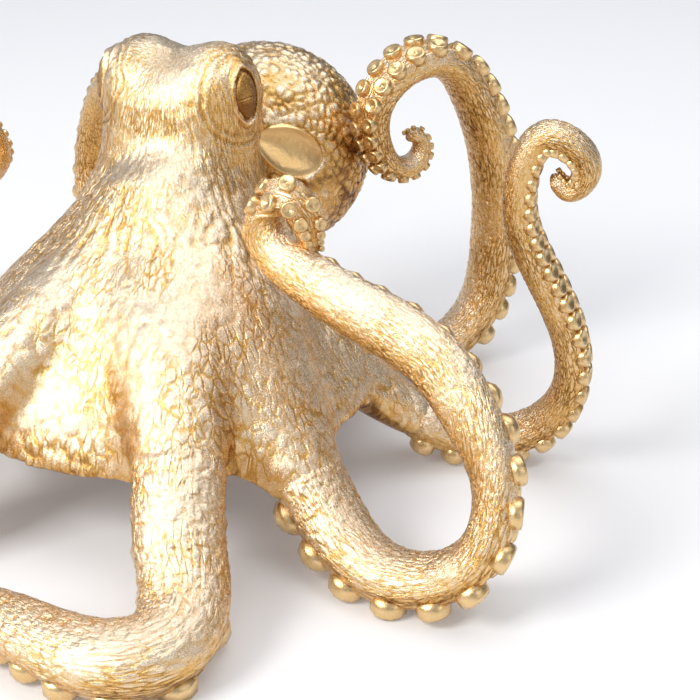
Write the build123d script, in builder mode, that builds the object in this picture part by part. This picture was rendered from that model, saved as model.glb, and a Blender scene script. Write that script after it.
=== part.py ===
"""Octopus figurine that stands free on its curling arms, cast in resin and painted.

Millimetres, +Z up. The creature faces -Y, and left and right are its own, so left is +X.
The origin lies on the ground under the middle of the figurine's outline. While the pieces
are made, it lies under the middle of the web, and the last step moves them all.
"""

import os
from math import cos, radians, sin, sqrt

from build123d import *

# Driving sizes of the body
body_height = 227  # ground to the top of the eye bumps
web_reach = 124  # middle of the web to its hem
head_width = 92
wall = 7  # wall of the hollow body casting
mantle_radius = 62
mantle_length = 120  # square to the joint face, with the part that the head makes
mantle_lean = 18  # how far the mantle leans to the creature's left
mantle_setback = 104
mantle_rise = 142  # ground to the middle of the mantle
mantle_wall = 16  # thick enough at the joint face to hold the dowels
mantle_joint_depth = 25  # joint plane to the middle of the mantle
mantle_joint_tilt = 20  # degrees from upright
collar_depth = 20  # of the head's round collar in front of the mantle
collar_taper = 24  # degrees
fit_gap = 0.3  # between curved faces of castings that face each other

# Driving sizes of the face
eye_bump_radius = 22
eye_bump_spacing = 44
eye_bump_setback = 32
eye_ring_radius = 13
eye_ring_thickness = 5
eyeball_radius = 11
eyeball_stand = 5  # how far the eyeball stands out of its ring's plane
eye_bearing = 83  # degrees from straight ahead
funnel_length = 35
funnel_breadth = 25
funnel_dish_radius = 26
funnel_dish_depth = 5
funnel_lip = 2.5  # how far the rim stands out of the mantle
funnel_bearing = 38  # degrees from straight ahead, seen from the middle of the mantle
funnel_rise = 18  # above the middle of the mantle
funnel_tilt = 12  # degrees upwards
funnel_turn = 25  # degrees by which the dish leans in its own plane

# Driving sizes of the arms
arm_reach = 240  # scale of the arms' routes: axis of the body to the widest bends
joint_margin = 20  # hem of the web to the joint of an arm
sucker_height = 5.5
sucker_tilt = 10  # degrees outwards from the middle of the oral face
smallest_sucker = 2.4
tip_radius = 1.8
section_spacing = 11  # between two sections of an arm, where it is thickest
smallest_section_spacing = 3.5
root_sections = 8  # spans of an arm's root, up to the joint
root_frames = 20  # planes before the joint, from which the suckers' planes follow
joint_halvings = 30  # steps in which the joint's place on the route is found

# Driving sizes of the pins and pads
arm_dowel_diameter = 6
arm_dowel_length = 26
mantle_dowel_diameter = 6
mantle_dowel_length = 16
dowel_clearance = 0.05  # on the radius
dowel_end_clearance = 0.5
mantle_dowel_spread_share = 0.76  # of the mantle's radius
mantle_dowel_turns = (75, 180, 285)  # degrees round the joint from its lowest point
pad_diameter = 10
pad_thickness = 1
ground_flat = 1.2  # how much is ground off the lowest suckers, so that the pads sit flat
overrun = 10  # how far a cut runs past what it cuts

# Shares of an arm's breadth
arm_thickness_share = 0.74
sucker_diameter_share = 0.46
sucker_base_share = 0.8  # of a sucker's own diameter
sucker_offset_share = 0.25
sucker_pitch_share = 0.56
sucker_depth_share = 0.55  # of the arm's half thickness, where a sucker's foot begins
sucker_dimple_share = 0.5  # of a sucker's own radius
sucker_slim_share = 0.2  # a sucker's height is at most this share of the arm's breadth

# Rings of the web, from the hem up: height as a share of body_height, then setback, half
# width and half depth as shares of web_reach
web_ring_shares = [
    (0.21, -0.03, 1.0, 1.03),
    (0.265, -0.03, 0.955, 1.0),
    (0.35, -0.04, 0.84, 0.90),
    (0.44, -0.03, 0.69, 0.765),
    (0.53, 0.03, 0.55, 0.615),
    (0.615, 0.135, 0.43, 0.46),
]

# Rings of the neck and the crown: height as a share of body_height, then setback, half
# width and half depth as shares of head_width
neck_ring_shares = [
    (0.705, 0.29, 0.49, 0.465),
    (0.79, 0.34, 0.49, 0.43),
    (0.88, 0.36, 0.48, 0.38),
    (0.925, 0.36, 0.43, 0.32),
    (0.955, 0.36, 0.30, 0.20),
]

# The arms. The bearing is in degrees from straight ahead towards the creature's left. A row
# is a place on the centre line: out along the bearing, across to the left of it, lift above
# the height at which the arm rests on the ground, and the arm's breadth there, all as shares
# of arm_reach. A twist turns the oral face by so many degrees between two shares of the
# arm's length.
arm_bearings = {
    "arm_left_1": 28,
    "arm_left_2": 57,
    "arm_left_3": 95,
    "arm_left_4": 137,
    "arm_right_1": -24,
    "arm_right_2": -62,
    "arm_right_3": -102,
    "arm_right_4": -145,
}
arm_twist_shares = {
    "arm_left_1": (0.3, 0.6, 0),
    "arm_left_2": (0.84, 0.93, 90),
    "arm_left_3": (0.3, 0.6, 0),
    "arm_left_4": (0.45, 0.7, 30),
    "arm_right_1": (0.5, 0.8, 20),
    "arm_right_2": (0.3, 0.6, 0),
    "arm_right_3": (0.5, 0.8, -25),
    "arm_right_4": (0.45, 0.7, -25),
}
arm_route_shares = {
    "arm_left_1": [
        (0.08, 0, 0.55, 0.17), (0.25, 0, 0.41, 0.215), (0.40, 0, 0.335, 0.21),
        (0.56, 0, 0.22, 0.195), (0.74, -0.015, 0.095, 0.185), (0.87, -0.02, 0.015, 0.18),
        (0.945, -0.065, 0, 0.175), (0.965, -0.155, 0, 0.165), (0.92, -0.25, 0, 0.15),
        (0.84, -0.34, 0, 0.13), (0.77, -0.43, 0, 0.105), (0.755, -0.52, 0.01, 0.082),
        (0.79, -0.58, 0.05, 0.06), (0.83, -0.56, 0.09, 0.044), (0.825, -0.515, 0.085, 0.03),
    ],
    "arm_left_2": [
        (0.08, 0, 0.55, 0.16), (0.21, 0, 0.455, 0.20), (0.34, 0, 0.355, 0.205),
        (0.435, -0.015, 0.27, 0.19), (0.535, -0.025, 0.17, 0.175),
        (0.67, -0.025, 0.055, 0.155), (0.83, -0.015, 0, 0.138), (0.94, 0.05, 0.015, 0.128),
        (1.0, 0.11, 0.095, 0.12), (0.98, 0.155, 0.195, 0.118), (0.915, 0.16, 0.31, 0.12),
        (0.81, 0.155, 0.40, 0.124), (0.685, 0.12, 0.455, 0.122), (0.57, 0.075, 0.49, 0.106),
        (0.46, 0.05, 0.52, 0.082), (0.385, 0.03, 0.57, 0.063), (0.38, 0.04, 0.64, 0.056),
        (0.43, 0.055, 0.665, 0.056), (0.465, 0.075, 0.635, 0.056), (0.48, 0.09, 0.60, 0.046),
        (0.50, 0.10, 0.57, 0.033), (0.525, 0.11, 0.55, 0.02),
    ],
    "arm_left_3": [
        (0.08, 0, 0.50, 0.15), (0.25, 0, 0.34, 0.185), (0.355, 0, 0.24, 0.17),
        (0.46, 0.01, 0.145, 0.15), (0.605, 0.045, 0.045, 0.125), (0.77, 0.08, 0, 0.11),
        (0.88, 0.085, 0.055, 0.105), (0.94, 0.065, 0.18, 0.10), (0.925, 0.045, 0.315, 0.096),
        (0.87, 0.03, 0.44, 0.09), (0.82, 0.01, 0.56, 0.08), (0.815, 0, 0.695, 0.07),
        (0.865, 0, 0.785, 0.062), (0.93, 0, 0.765, 0.052), (0.955, 0, 0.705, 0.042),
        (0.92, 0, 0.665, 0.033), (0.88, 0, 0.70, 0.025),
    ],
    "arm_left_4": [
        (0.08, 0, 0.50, 0.15), (0.29, 0, 0.31, 0.185), (0.395, 0, 0.205, 0.17),
        (0.50, 0, 0.11, 0.15), (0.62, 0, 0.04, 0.13), (0.735, 0, 0, 0.12),
        (0.835, 0, 0.065, 0.116), (0.885, 0, 0.24, 0.112), (0.875, 0, 0.465, 0.108),
        (0.815, 0, 0.65, 0.10), (0.715, 0, 0.765, 0.09), (0.61, 0, 0.75, 0.08),
        (0.545, 0, 0.67, 0.07), (0.555, 0, 0.57, 0.058), (0.61, 0, 0.51, 0.047),
        (0.665, 0, 0.53, 0.037), (0.665, 0, 0.58, 0.028), (0.63, 0, 0.58, 0.02),
    ],
    "arm_right_1": [
        (0.08, 0, 0.55, 0.17), (0.25, 0, 0.41, 0.215), (0.40, 0, 0.34, 0.205),
        (0.56, 0, 0.22, 0.185), (0.70, 0, 0.10, 0.17), (0.82, -0.01, 0.02, 0.155),
        (0.92, -0.05, 0, 0.14), (1.0, -0.13, 0.02, 0.125), (1.03, -0.23, 0.08, 0.11),
        (0.98, -0.31, 0.15, 0.095), (0.89, -0.33, 0.20, 0.08), (0.82, -0.29, 0.23, 0.066),
        (0.80, -0.22, 0.25, 0.052), (0.84, -0.18, 0.26, 0.04), (0.88, -0.20, 0.265, 0.028),
    ],
    "arm_right_2": [
        (0.08, 0, 0.52, 0.16), (0.25, 0, 0.36, 0.205), (0.36, 0, 0.27, 0.185),
        (0.47, -0.01, 0.17, 0.165), (0.60, -0.02, 0.07, 0.145), (0.74, -0.01, 0, 0.13),
        (0.87, 0.02, 0.02, 0.12), (0.96, 0.05, 0.11, 0.112), (0.98, 0.06, 0.24, 0.105),
        (0.93, 0.04, 0.36, 0.098), (0.86, 0, 0.46, 0.09), (0.82, -0.04, 0.57, 0.08),
        (0.84, -0.06, 0.68, 0.07), (0.90, -0.06, 0.75, 0.06), (0.97, -0.05, 0.74, 0.05),
        (1.0, -0.04, 0.68, 0.04), (0.96, -0.04, 0.64, 0.03), (0.92, -0.04, 0.67, 0.022),
    ],
    "arm_right_3": [
        (0.08, 0, 0.50, 0.15), (0.25, 0, 0.34, 0.195), (0.36, 0, 0.24, 0.18),
        (0.47, 0, 0.14, 0.16), (0.60, 0.02, 0.05, 0.14), (0.74, 0.05, 0, 0.125),
        (0.87, 0.06, 0.02, 0.12), (0.96, 0.03, 0.10, 0.115), (0.97, -0.03, 0.21, 0.11),
        (0.90, -0.08, 0.31, 0.105), (0.79, -0.10, 0.38, 0.10), (0.67, -0.09, 0.43, 0.09),
        (0.57, -0.06, 0.49, 0.075), (0.53, -0.03, 0.57, 0.062), (0.57, -0.01, 0.63, 0.05),
        (0.62, -0.01, 0.61, 0.04), (0.62, -0.01, 0.56, 0.03), (0.585, -0.01, 0.55, 0.022),
    ],
    "arm_right_4": [
        (0.08, 0, 0.50, 0.15), (0.29, 0, 0.31, 0.185), (0.395, 0, 0.205, 0.17),
        (0.51, 0, 0.11, 0.15), (0.635, 0.01, 0.035, 0.13), (0.76, 0.03, 0, 0.115),
        (0.86, 0.05, 0.05, 0.11), (0.93, 0.06, 0.17, 0.105), (0.94, 0.05, 0.32, 0.10),
        (0.88, 0.03, 0.46, 0.092), (0.78, 0.01, 0.55, 0.083), (0.67, -0.01, 0.56, 0.073),
        (0.60, -0.02, 0.49, 0.062), (0.61, -0.03, 0.41, 0.05), (0.67, -0.03, 0.37, 0.04),
        (0.715, -0.03, 0.41, 0.03), (0.69, -0.03, 0.45, 0.022),
    ],
}

os.makedirs("parts", exist_ok=True)
pieces = {}


def direction(bearing, rise=0):
    """Unit vector at a bearing from straight ahead and a rise from level, in degrees."""
    level = cos(radians(rise))
    ahead = cos(radians(bearing))
    sideways = sin(radians(bearing))
    return Vector(level * sideways, -level * ahead, sin(radians(rise)))


def rest_height(rows):
    """Height of an arm's centre line where its suckers rest on a pad."""
    lifts = [row[2] for row in rows]
    foot_breadth = rows[lifts.index(min(lifts))][3] * arm_reach
    half_thickness = foot_breadth * arm_thickness_share / 2
    return half_thickness + sucker_height + pad_thickness - ground_flat


def route_points(name):
    """Places on an arm's centre line, in the figurine's frame."""
    rows = arm_route_shares[name]
    outwards = direction(arm_bearings[name])
    leftwards = direction(arm_bearings[name] + 90)
    rest = rest_height(rows)
    return [
        (outwards * row[0] + leftwards * row[1]) * arm_reach
        + Vector(0, 0, rest + row[2] * arm_reach)
        for row in rows
    ]


def breadth_at(name, station):
    """Breadth of an arm at a share of its length, straight between the rows."""
    points = route_points(name)
    travelled = [0]
    for before, after in zip(points, points[1:]):
        travelled.append(travelled[-1] + (after - before).length)
    stations = [distance / travelled[-1] for distance in travelled]
    breadths = [row[3] * arm_reach for row in arm_route_shares[name]]
    for k in range(1, len(stations)):
        if station <= stations[k]:
            along = (station - stations[k - 1]) / (stations[k] - stations[k - 1])
            return breadths[k - 1] + along * (breadths[k] - breadths[k - 1])
    return breadths[-1]


def twist_at(name, station):
    """Degrees by which the oral face is turned at a share of the arm's length."""
    begin, end, degrees = arm_twist_shares[name]
    along = min(1, max(0, (station - begin) / (end - begin)))
    return degrees * along * along * (3 - 2 * along)


def joint_station(route):
    """Share of the route at which it passes the hem of the web, by halving."""
    joint_reach = web_reach * web_ring_shares[0][2] + joint_margin
    low, high = 0, 1 / 2
    for _ in range(joint_halvings):
        middle = (low + high) / 2
        place = route @ middle
        if sqrt(place.X * place.X + place.Y * place.Y) < joint_reach:
            low = middle
        else:
            high = middle
    return low


def frames_along(name, route, stations):
    """Planes square to the route, each turned as little as can be from the one before.

    Their Y axis points to the back of the arm, so the oral face looks along -Y.
    """
    frames = []
    across = direction(arm_bearings[name] + 90)
    for station in stations:
        tangent = route % station
        across = (across - tangent * across.dot(tangent)).normalized()
        turned = across.rotate(Axis((0, 0, 0), tangent), twist_at(name, station))
        frames.append(Plane(origin=route @ station, x_dir=turned, z_dir=tangent))
    return frames


def stations_between(name, route, start, end):
    """Shares of the route, closer together where the arm is thin."""
    stations = [start]
    while stations[-1] < end:
        slimness = breadth_at(name, stations[-1]) / breadth_at(name, start)
        spacing = max(smallest_section_spacing, section_spacing * slimness)
        stations.append(stations[-1] + spacing / route.length)
    stations[-1] = end
    return stations


def tube(name, route, stations):
    """Solid through oval sections at the given shares of the route."""
    with BuildPart() as limb:
        for station, plane in zip(stations, frames_along(name, route, stations)):
            breadth = breadth_at(name, station)
            with BuildSketch(plane):
                Ellipse(breadth / 2, breadth * arm_thickness_share / 2)
        loft(ruled=True)
    return limb.part


def sucker_seats(name, route, start):
    """Each sucker's plane, which looks out of the oral face, with its radius and height.

    The suckers stand in two staggered rows, and shrink with the arm's breadth.
    """
    stations = []
    station = start + breadth_at(name, start) * sucker_pitch_share / 2 / route.length
    while station < 1 and breadth_at(name, station) * sucker_diameter_share > smallest_sucker:
        stations.append(station)
        station += breadth_at(name, station) * sucker_pitch_share / 2 / route.length
    fine = [start * k / root_frames for k in range(root_frames)] + stations
    frames = frames_along(name, route, fine)[root_frames:]
    seats = []
    for k, (station, frame) in enumerate(zip(stations, frames)):
        side = 1 if k % 2 else -1
        breadth = breadth_at(name, station)
        half_thickness = breadth * arm_thickness_share / 2
        outwards = frame.x_dir * side * sin(radians(sucker_tilt))
        looks = outwards - frame.y_dir * cos(radians(sucker_tilt))
        foot = (
            frame.origin
            + frame.x_dir * side * breadth * sucker_offset_share
            - frame.y_dir * half_thickness * sucker_depth_share
        )
        height = min(sucker_height, breadth * sucker_slim_share)
        reach = half_thickness * (1 - sucker_depth_share) + height
        plane = Plane(origin=foot, x_dir=frame.z_dir, z_dir=looks)
        seats.append((plane, breadth * sucker_diameter_share / 2, reach))
    return seats


def sucker(plane, radius, reach):
    """Round drum, wider at its rim, with a dimple in its face."""
    with BuildPart() as drum:
        with BuildSketch(Plane(origin=plane.origin, x_dir=plane.x_dir, z_dir=-plane.y_dir)):
            with BuildLine():
                Polyline(
                    (0, 0),
                    (radius * sucker_base_share, 0),
                    (radius, reach),
                    (radius * sucker_dimple_share, reach),
                    (0, reach - radius * sucker_dimple_share),
                    (0, 0),
                )
            make_face()
        revolve(axis=Axis(plane.origin, plane.z_dir))
    return drum.part


def dowel_hole(place, tangent, diameter, length):
    """Cutter for a blind hole that takes half a dowel on each side of a joint."""
    hole_length = length + 2 * dowel_end_clearance
    plane = Plane(origin=place - tangent * hole_length / 2, z_dir=tangent)
    with BuildPart() as cutter:
        with BuildSketch(plane):
            Circle(diameter / 2 + dowel_clearance)
        extrude(amount=hole_length)
    return cutter.part


def dowel(place, tangent, diameter, length):
    """Plain pin, centred on a joint."""
    with BuildPart() as pin:
        with BuildSketch(Plane(origin=place - tangent * length / 2, z_dir=tangent)):
            Circle(diameter / 2)
        extrude(amount=length)
    return pin.part


# The arms' centre lines and joints with the web
routes = {}
joints = {}
for name in arm_bearings:
    with BuildLine() as centre_line:
        Spline(*route_points(name))
    routes[name] = centre_line.edges()[0]
    joints[name] = joint_station(routes[name])

# The arms: solid castings with their suckers, the lowest of which are ground flat
pad_places = []
for name, route in routes.items():
    stations = stations_between(name, route, joints[name], 1)
    limb = tube(name, route, stations)
    seats = sucker_seats(name, route, joints[name])
    suckers = [sucker(*seat) for seat in seats]
    rims = [plane.origin + plane.z_dir * reach for plane, radius, reach in seats]
    lowest = min(rims, key=lambda rim: rim.Z)
    pad_places.append((lowest.X, lowest.Y))
    with BuildPart() as arm:
        add(limb)
        add(suckers)
        with Locations(route @ 1):
            Sphere(tip_radius)
        joint_tangent = route % joints[name]
        add(
            dowel_hole(route @ joints[name], joint_tangent, arm_dowel_diameter, arm_dowel_length),
            mode=Mode.SUBTRACT,
        )
        split(bisect_by=Plane.XY.offset(pad_thickness), keep=Keep.TOP)
    pieces[name] = arm.part

# The mantle: a hollow sac with a thick rim, joined to the head at a leaning plane
mantle_middle = Vector(mantle_lean, mantle_setback, mantle_rise)
joint_normal = Vector(0, cos(radians(mantle_joint_tilt)), sin(radians(mantle_joint_tilt)))
joint_upwards = Vector(0, -sin(radians(mantle_joint_tilt)), cos(radians(mantle_joint_tilt)))
joint_middle = mantle_middle - joint_normal * mantle_joint_depth
joint_plane = Plane(origin=joint_middle, x_dir=(1, 0, 0), z_dir=joint_normal)


def sac(growth=0, thickness=0):
    """Round sac about the mantle's middle, cut off at the joint plane.

    It is grown all round by so much, and is a shell where a thickness is given.
    """
    radius = mantle_radius + growth
    half_length = mantle_length / 2 + growth
    with BuildPart() as rounded:
        with BuildSketch(Plane(origin=mantle_middle, x_dir=joint_normal, z_dir=joint_upwards)):
            Ellipse(half_length, radius)
            if thickness:
                Ellipse(half_length - thickness, radius - thickness, mode=Mode.SUBTRACT)
            Rectangle(2 * half_length, radius, align=(Align.CENTER, Align.MAX), mode=Mode.SUBTRACT)
            with Locations((-mantle_joint_depth, 0)):
                Rectangle(
                    half_length, 2 * radius, align=(Align.MAX, Align.CENTER), mode=Mode.SUBTRACT
                )
        revolve(axis=Axis(mantle_middle, joint_normal))
    return rounded.part


mantle_dowel_places = [
    joint_plane.from_local_coords(
        (
            mantle_radius * mantle_dowel_spread_share * sin(radians(turn)),
            mantle_radius * mantle_dowel_spread_share * cos(radians(turn)),
            0,
        )
    )
    for turn in mantle_dowel_turns
]
with BuildPart() as mantle:
    add(sac(0, mantle_wall))
    for place in mantle_dowel_places:
        add(
            dowel_hole(place, joint_normal, mantle_dowel_diameter, mantle_dowel_length),
            mode=Mode.SUBTRACT,
        )
pieces["mantle"] = mantle.part

# The cavity of the head and web casting: the web's rings, a wall further in
with BuildPart() as cavity:
    for k, (height, setback, half_width, half_depth) in enumerate(web_ring_shares):
        below = overrun if k == 0 else 0
        with BuildSketch(Plane((0, setback * web_reach, height * body_height - below))):
            Ellipse(half_width * web_reach - wall, half_depth * web_reach - wall)
    loft()

# The head, neck and web: one hollow casting, open below, with the arms' solid roots
with BuildPart() as head_and_web:
    for height, setback, half_width, half_depth in web_ring_shares:
        with BuildSketch(Plane((0, setback * web_reach, height * body_height))):
            Ellipse(half_width * web_reach, half_depth * web_reach)
    for height, setback, half_width, half_depth in neck_ring_shares:
        with BuildSketch(Plane((0, setback * head_width, height * body_height))):
            Ellipse(half_width * head_width, half_depth * head_width)
    loft()
    add(cavity.part, mode=Mode.SUBTRACT)
    for name, route in routes.items():
        stations = [joints[name] * k / root_sections for k in range(root_sections + 1)]
        add(tube(name, route, stations))
    # The round collar that backs the mantle
    with BuildSketch(joint_plane):
        Circle(mantle_radius * sqrt(1 - (2 * mantle_joint_depth / mantle_length) ** 2))
    extrude(amount=-collar_depth, taper=collar_taper)
    for side in (-1, 1):
        bump_middle = Vector(
            side * eye_bump_spacing / 2, eye_bump_setback, body_height - eye_bump_radius
        )
        looks = direction(side * eye_bearing)
        ring_middle = bump_middle + looks * sqrt(eye_bump_radius**2 - eye_ring_radius**2)
        with Locations(bump_middle):
            Sphere(eye_bump_radius)
        with Locations(Plane(origin=ring_middle, z_dir=looks)):
            Torus(eye_ring_radius, eye_ring_thickness / 2)
        with Locations(ring_middle - looks * (eyeball_radius - eyeball_stand)):
            Sphere(eyeball_radius)
    # The funnel: a smooth oval dish on the creature's left, where the mantle opens
    looks = direction(funnel_bearing, funnel_tilt)
    level = sqrt(mantle_radius**2 - funnel_rise**2)
    dish_middle = mantle_middle + direction(funnel_bearing) * level + Vector(0, 0, funnel_rise)
    dish_plane = Plane(
        origin=dish_middle - looks * overrun, x_dir=looks.cross(Vector(0, 0, 1)), z_dir=looks
    )
    with BuildSketch(dish_plane):
        Ellipse(funnel_length / 2, funnel_breadth / 2, rotation=funnel_turn)
    extrude(amount=overrun + funnel_lip)
    with Locations(dish_middle + looks * (funnel_lip + funnel_dish_radius - funnel_dish_depth)):
        Sphere(funnel_dish_radius, mode=Mode.SUBTRACT)
    # The mantle's seat
    add(sac(fit_gap), mode=Mode.SUBTRACT)
    for name, route in routes.items():
        add(
            dowel_hole(
                route @ joints[name], route % joints[name], arm_dowel_diameter, arm_dowel_length
            ),
            mode=Mode.SUBTRACT,
        )
    for place in mantle_dowel_places:
        add(
            dowel_hole(place, joint_normal, mantle_dowel_diameter, mantle_dowel_length),
            mode=Mode.SUBTRACT,
        )
pieces["head_and_web"] = head_and_web.part

# The steel pins between the web and the arms
with BuildPart() as arm_dowels:
    for name, route in routes.items():
        add(dowel(route @ joints[name], route % joints[name], arm_dowel_diameter, arm_dowel_length))
pieces["arm_dowels"] = arm_dowels.part

# The steel pins between the head and the mantle
with BuildPart() as mantle_dowels:
    for place in mantle_dowel_places:
        add(dowel(place, joint_normal, mantle_dowel_diameter, mantle_dowel_length))
pieces["mantle_dowels"] = mantle_dowels.part

# Felt pads under the lowest sucker of each arm
with BuildPart() as felt_pads:
    with BuildSketch(Plane.XY):
        with Locations(*pad_places):
            Circle(pad_diameter / 2)
    extrude(amount=pad_thickness)
pieces["felt_pads"] = felt_pads.part

# The figurine stands with the middle of its outline over the origin
boxes = [piece.bounding_box() for piece in pieces.values()]
middle = Location(
    (
        -(min(box.min.X for box in boxes) + max(box.max.X for box in boxes)) / 2,
        -(min(box.min.Y for box in boxes) + max(box.max.Y for box in boxes)) / 2,
        0,
    )
)
for name, piece in pieces.items():
    placed = piece.moved(middle)
    placed.label = name
    export_step(placed, f"parts/{name}.step")
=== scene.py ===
"""A resin octopus painted metallic gold, standing free on its curling arms on a pale floor."""

import bmesh
import bpy
import numpy as np
from mathutils import Matrix


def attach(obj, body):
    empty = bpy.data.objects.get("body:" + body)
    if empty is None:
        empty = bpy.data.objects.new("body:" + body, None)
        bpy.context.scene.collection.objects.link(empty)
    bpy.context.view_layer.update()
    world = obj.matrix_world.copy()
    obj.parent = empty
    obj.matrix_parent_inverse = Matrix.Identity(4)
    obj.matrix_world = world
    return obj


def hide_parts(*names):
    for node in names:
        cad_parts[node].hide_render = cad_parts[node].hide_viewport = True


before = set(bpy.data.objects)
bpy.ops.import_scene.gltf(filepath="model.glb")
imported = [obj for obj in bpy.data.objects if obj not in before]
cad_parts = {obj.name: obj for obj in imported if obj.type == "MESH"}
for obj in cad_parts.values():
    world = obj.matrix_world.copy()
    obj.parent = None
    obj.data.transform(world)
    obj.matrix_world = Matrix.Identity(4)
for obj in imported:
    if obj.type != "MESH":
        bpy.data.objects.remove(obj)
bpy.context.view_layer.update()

# Camera: it looks down at the creature's left front from close by, so that the arms of the other
# side leave the picture. Its place was worked out from the eye bumps and the arms' feet.
web_middle = np.array([4.592, 25.085, 0.0])  # mm, middle of the web on the ground
eye_place = np.array([379.7, -743.6, 494.4]) + web_middle
turn, drop = np.radians(20), np.radians(28)  # turned to the left side, looking down
rightwards = np.array([np.cos(turn), np.sin(turn), 0])
backwards = np.array([np.sin(turn) * np.cos(drop), -np.cos(turn) * np.cos(drop), np.sin(drop)])
camera_data = bpy.data.cameras.new("photo_camera")
camera_data.sensor_width = 36
camera_data.lens = 84.86
camera_data.clip_end = 50
camera = bpy.data.objects.new("photo_camera", camera_data)
bpy.context.collection.objects.link(camera)
camera_axes = np.stack([rightwards, np.cross(backwards, rightwards), backwards], axis=1)
camera_matrix = np.eye(4)
camera_matrix[:3, :3] = camera_axes
camera_matrix[:3, 3] = eye_place / 1000
camera.matrix_world = Matrix(camera_matrix.tolist())
bpy.context.scene.camera = camera

# Floor and studio light: a seamless white sheet, one large soft lamp high on the left in front,
# one over the top, and a weak one from the right. The room is brighter on the side of the first.
floor_mesh = bpy.data.meshes.new("floor")
half_floor = 8.0  # metres
floor_corners = [(half_floor * x, half_floor * y, 0) for x, y in ((-1, -1), (1, -1), (1, 1), (-1, 1))]
floor_mesh.from_pydata(floor_corners, [], [(0, 1, 2, 3)])
floor = bpy.data.objects.new("floor", floor_mesh)
bpy.context.collection.objects.link(floor)
paper = bpy.data.materials.new("white paper")
paper.use_nodes = True
paper_shader = paper.node_tree.nodes["Principled BSDF"]
paper_shader.inputs["Base Color"].default_value = (0.79, 0.79, 0.8, 1)
paper_shader.inputs["Emission Color"].default_value = (0.98, 0.98, 1, 1)
paper_shader.inputs["Emission Strength"].default_value = 0.15
paper_shader.inputs["Roughness"].default_value = 0.7
floor_mesh.materials.append(paper)


def add_node(tree, kind, values=None, **settings):
    """New shader node with its settings, each socket linked to another or given its constant."""
    node = tree.nodes.new("ShaderNode" + kind)
    for key, value in settings.items():
        setattr(node, key, value)
    for key, value in (values or {}).items():
        if isinstance(value, bpy.types.NodeSocket):
            tree.links.new(value, node.inputs[key])
        else:
            node.inputs[key].default_value = value
    return node


studio = bpy.data.worlds.new("studio")
studio.use_nodes = True
backdrop = studio.node_tree.nodes["Background"]
backdrop.inputs["Color"].default_value = (0.9, 0.93, 1.0, 1)
view_direction = add_node(studio.node_tree, "TexCoord").outputs["Generated"]
key_direction = (-0.7, -0.45, 0.55)
towards_key = add_node(
    studio.node_tree, "VectorMath", {0: view_direction, 1: key_direction}, operation="DOT_PRODUCT"
).outputs["Value"]
brightness = add_node(
    studio.node_tree,
    "MapRange",
    {"Value": towards_key, "From Min": -0.35, "From Max": 0.9, "To Min": 0.2, "To Max": 0.6},
    interpolation_type="SMOOTHSTEP",
)
studio.node_tree.links.new(brightness.outputs["Result"], backdrop.inputs["Strength"])
bpy.context.scene.world = studio


def softbox(name, place, aim, size, power, colour):
    """Square lamp of a size at a place, in metres, turned so that it shines at the aim."""
    lamp_data = bpy.data.lights.new(name, "AREA")
    lamp_data.shape = "RECTANGLE"
    lamp_data.size = lamp_data.size_y = size
    lamp_data.energy = power
    lamp_data.color = colour
    lamp = bpy.data.objects.new(name, lamp_data)
    bpy.context.collection.objects.link(lamp)
    away = np.array(place) - np.array(aim)
    away /= np.linalg.norm(away)
    side = np.cross([0, 0, 1.0], away)
    side /= np.linalg.norm(side)
    matrix = np.eye(4)
    matrix[:3, :3] = np.stack([side, np.cross(away, side), away], axis=1)
    matrix[:3, 3] = place
    lamp.matrix_world = Matrix(matrix.tolist())


softbox("key", (-0.75, -1.15, 1.25), aim=(0.05, -0.05, 0.1), size=0.8, power=24, colour=(1, 0.985, 0.96))
softbox("top", (0.3, 0.5, 1.5), aim=(0.05, 0, 0.1), size=1.4, power=12, colour=(0.96, 0.975, 1))
softbox("fill", (1.4, -0.6, 0.7), aim=(0.05, 0, 0.1), size=0.8, power=3, colour=(1, 0.98, 0.95))
bpy.context.scene.view_settings.view_transform = "Standard"

# Head and web: one hollow resin casting, open below, whose web runs out into the arms' roots.
# Its skin is modelled with wrinkles that flow from the head to the arms, then painted gold.
# Heights, setbacks, half widths and half depths of its rings, and all other sizes, are in mm.
body_rings = np.array(
    [
        (0, 0, 168, 170),
        (25, -3, 146, 149),
        (47.7, -3.7, 124, 127.7),
        (60.2, -3.7, 118.4, 124),
        (79.5, -5, 104.2, 111.6),
        (99.9, -3.7, 85.6, 94.9),
        (120.3, 3.7, 68.2, 76.3),
        (139.6, 16.7, 53.3, 57),
        (160, 26.7, 45.1, 42.8),
        (179.3, 31.3, 45.1, 39.6),
        (199.8, 33.1, 44.2, 35),
        (210, 33.1, 38.6, 29),
        (217, 33.1, 27.6, 18.4),
        (221, 33.1, 10, 8),
    ]
)
hem_height = 47.7
web_wall = 7.0
cavity_top = 134.0
crown_height = 221.0
arm_reach = 240.0
arm_flatness = 0.74
felt_thickness = 1.0
ground_flat = 1.2
sucker_height = 5.5
joint_reach = 144.0  # from the web's middle to the arms' glued joints

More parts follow.
